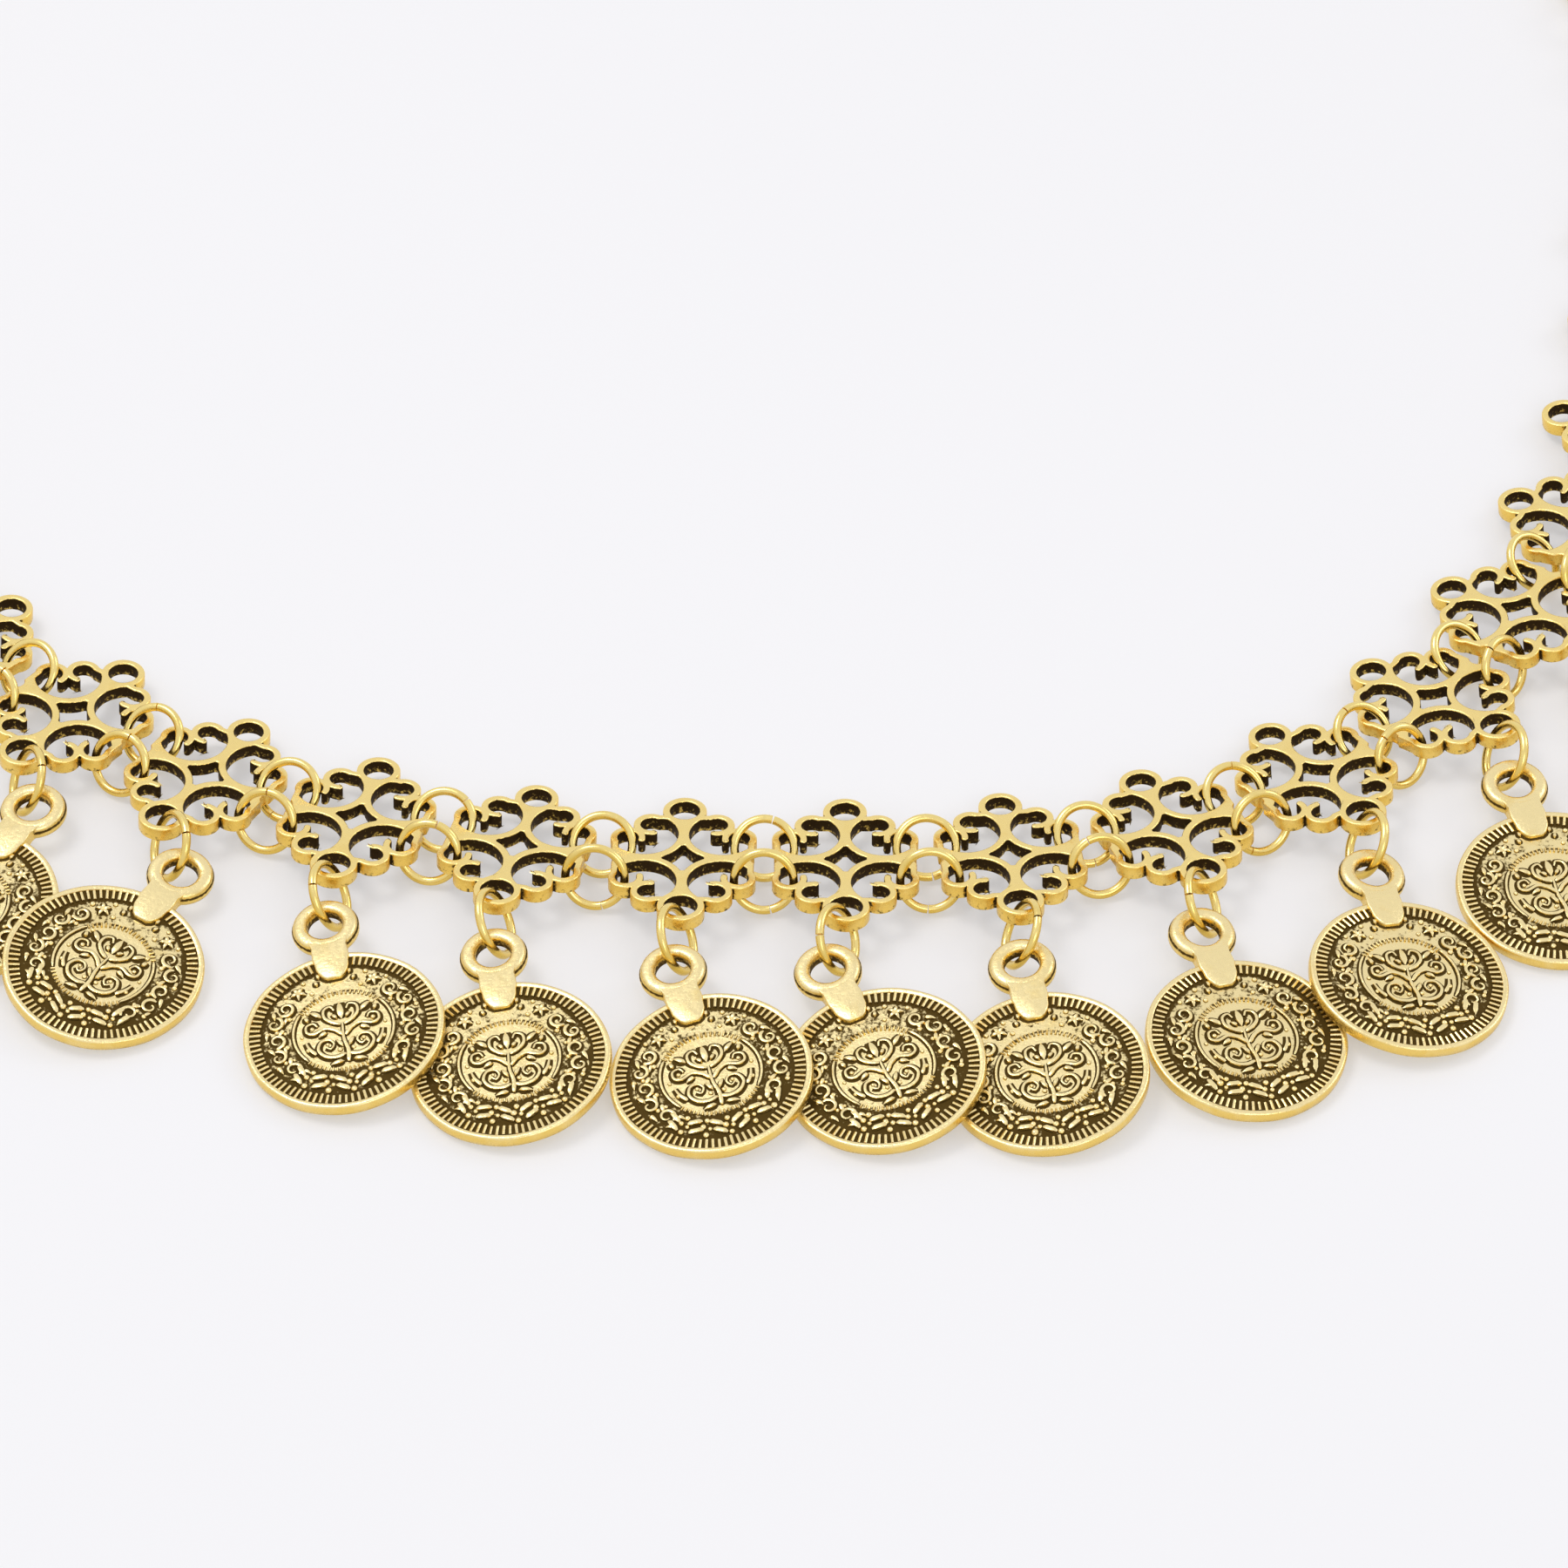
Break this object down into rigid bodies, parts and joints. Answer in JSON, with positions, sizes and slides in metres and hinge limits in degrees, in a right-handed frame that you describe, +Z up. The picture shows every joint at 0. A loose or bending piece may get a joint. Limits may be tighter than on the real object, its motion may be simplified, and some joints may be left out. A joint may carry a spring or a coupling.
{
  "type": "coin necklace",
  "caption": "Necklace of pierced square plates joined by paired rings, each plate with a hanging coin on a ring, closed at the back by an oval link chain and an oval hook.",
  "frame": {"origin": "middle of the overall box at the surface that the necklace lies on", "axes": "+X along the necklace's width to the wearer's left as it lies face up, +Y from the coins to the back chain, +Z up, out of the coins' faces"},
  "size_m": [0.253, 0.231, 0.0062],
  "materials": {
    "plate_gold": "antique gold plate, worn pale on top, dark in the openings",
    "coin_gold": "antique gold plate, dark between the relief",
    "ring_gold": "bright gold plate",
    "chain_gold": "bright gold plate",
    "clasp_gold": "bright gold plate"
  },
  "bodies": {
    "root": {"plate_01": "plate_gold", "plate_02": "plate_gold", "plate_03": "plate_gold", "plate_04": "plate_gold", "plate_05": "plate_gold", "plate_06": "plate_gold", "plate_07": "plate_gold", "plate_08": "plate_gold", "plate_09": "plate_gold", "plate_10": "plate_gold", "plate_11": "plate_gold", "plate_12": "plate_gold", "plate_13": "plate_gold", "plate_14": "plate_gold", "plate_15": "plate_gold", "plate_16": "plate_gold", "plate_17": "plate_gold", "plate_18": "plate_gold", "plate_19": "plate_gold", "coin_01": "coin_gold", "coin_02": "coin_gold", "coin_03": "coin_gold", "coin_04": "coin_gold", "coin_05": "coin_gold", "coin_06": "coin_gold", "coin_07": "coin_gold", "coin_08": "coin_gold", "coin_09": "coin_gold", "coin_10": "coin_gold", "coin_11": "coin_gold", "coin_12": "coin_gold", "coin_13": "coin_gold", "coin_14": "coin_gold", "coin_15": "coin_gold", "coin_16": "coin_gold", "coin_17": "coin_gold", "coin_18": "coin_gold", "coin_19": "coin_gold", "link_rings": "ring_gold", "coin_rings": "ring_gold", "end_rings": "ring_gold", "chain_right": "chain_gold", "chain_left": "chain_gold", "clasp": "clasp_gold", "clasp_ring": "ring_gold"}
  },
  "joints": []
}
